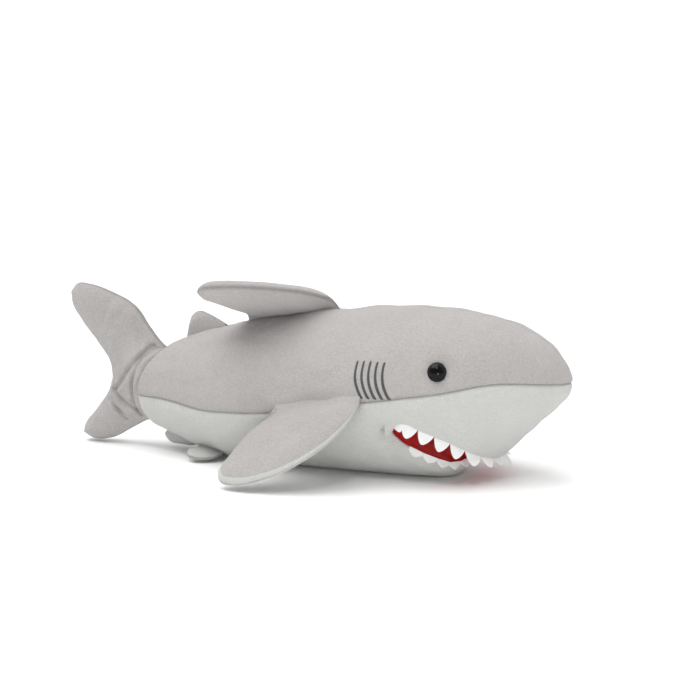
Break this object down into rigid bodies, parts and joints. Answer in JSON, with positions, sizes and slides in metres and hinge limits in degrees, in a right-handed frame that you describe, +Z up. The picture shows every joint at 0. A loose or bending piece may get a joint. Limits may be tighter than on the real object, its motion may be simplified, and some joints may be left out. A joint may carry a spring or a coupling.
{
  "type": "plush shark",
  "caption": "Stuffed plush shark lying on its belly, grey above and white below, with a red-lined open mouth, felt teeth and soft fins that bend at their seams.",
  "frame": {"origin": "on the floor, under the middle of the toy's bounding box", "axes": "+X towards the nose, +Y towards the shark's left side, +Z up"},
  "size_m": [0.5191, 0.2814, 0.1866],
  "materials": {
    "grey_plush": "matte",
    "white_plush": "matte",
    "red_lining": "matte",
    "white_felt": "matte",
    "grey_thread": "satin",
    "black_plastic": "gloss",
    "washer_plastic": "satin",
    "fibre_filling": "matte"
  },
  "bodies": {
    "body": {"back_panel_right": "grey_plush", "back_panel_left": "grey_plush", "snout_panel": "white_plush", "belly_panel": "white_plush", "body_filling": "fibre_filling", "palate_lining": "red_lining", "upper_tooth_strip": "white_felt", "gill_stitches_right": "grey_thread", "gill_stitches_left": "grey_thread", "eye_right": "black_plastic", "eye_left": "black_plastic", "eye_washer_right": "washer_plastic", "eye_washer_left": "washer_plastic"},
    "lower_jaw": {"jaw_panel": "white_plush", "tongue_lining": "red_lining", "lower_tooth_strip": "white_felt", "jaw_filling": "fibre_filling"},
    "tail_fin": {"tail_panel_right": "grey_plush", "tail_panel_left": "grey_plush", "tail_filling": "fibre_filling"},
    "dorsal_fin": {"dorsal_fin_over": "grey_plush", "dorsal_fin_under": "grey_plush", "dorsal_fin_filling": "fibre_filling"},
    "rear_dorsal_fin": {"rear_dorsal_fin_right": "grey_plush", "rear_dorsal_fin_left": "grey_plush", "rear_dorsal_fin_filling": "fibre_filling"},
    "anal_fin": {"anal_fin_right": "white_plush", "anal_fin_left": "white_plush", "anal_fin_filling": "fibre_filling"},
    "pectoral_fin_right": {"pectoral_fin_top_right": "grey_plush", "pectoral_fin_bottom_right": "white_plush", "pectoral_fin_filling_right": "fibre_filling"},
    "pelvic_fin_right": {"pelvic_fin_top_right": "white_plush", "pelvic_fin_bottom_right": "white_plush", "pelvic_fin_filling_right": "fibre_filling"},
    "pectoral_fin_left": {"pectoral_fin_top_left": "grey_plush", "pectoral_fin_bottom_left": "white_plush", "pectoral_fin_filling_left": "fibre_filling"},
    "pelvic_fin_left": {"pelvic_fin_top_left": "white_plush", "pelvic_fin_bottom_left": "white_plush", "pelvic_fin_filling_left": "fibre_filling"}
  },
  "joints": [
    {"name": "jaw_hinge", "type": "hinge", "parent": "body", "child": "lower_jaw", "pos_m": [0.1055, 0, 0.047], "axis": [0, 1, 0], "range_deg": [-14, 8]},
    {"name": "tail_swing", "type": "hinge", "parent": "body", "child": "tail_fin", "pos_m": [-0.163, 0, 0.06], "axis": [0, 0, 1], "range_deg": [-25, 25]},
    {"name": "dorsal_fin_flop", "type": "hinge", "parent": "body", "child": "dorsal_fin", "pos_m": [-0.018, 0, 0.1465], "axis": [-0.9893, 0, -0.146], "range_deg": [0, 130]},
    {"name": "rear_dorsal_fin_tilt", "type": "hinge", "parent": "body", "child": "rear_dorsal_fin", "pos_m": [-0.113, 0, 0.1222], "axis": [0.952, 0, 0.306], "range_deg": [-35, 35]},
    {"name": "anal_fin_tilt", "type": "hinge", "parent": "body", "child": "anal_fin", "pos_m": [-0.136, 0, 0.0132], "axis": [0.9298, 0, -0.3679], "range_deg": [-25, 25]},
    {"name": "pectoral_fin_right_lift", "type": "hinge", "parent": "body", "child": "pectoral_fin_right", "pos_m": [0.05, -0.0847, 0.0718], "axis": [-0.9839, 0.014, -0.178], "range_deg": [-30, 60]},
    {"name": "pectoral_fin_left_lift", "type": "hinge", "parent": "body", "child": "pectoral_fin_left", "pos_m": [0.05, 0.0847, 0.0718], "axis": [0.9839, 0.014, 0.178], "range_deg": [-30, 60]},
    {"name": "pelvic_fin_right_lift", "type": "hinge", "parent": "body", "child": "pelvic_fin_right", "pos_m": [-0.09, -0.0346, 0.0089], "axis": [-0.9678, 0.19, 0.165], "range_deg": [-15, 20]},
    {"name": "pelvic_fin_left_lift", "type": "hinge", "parent": "body", "child": "pelvic_fin_left", "pos_m": [-0.09, 0.0346, 0.0089], "axis": [0.9678, 0.19, -0.165], "range_deg": [-15, 20]}
  ]
}
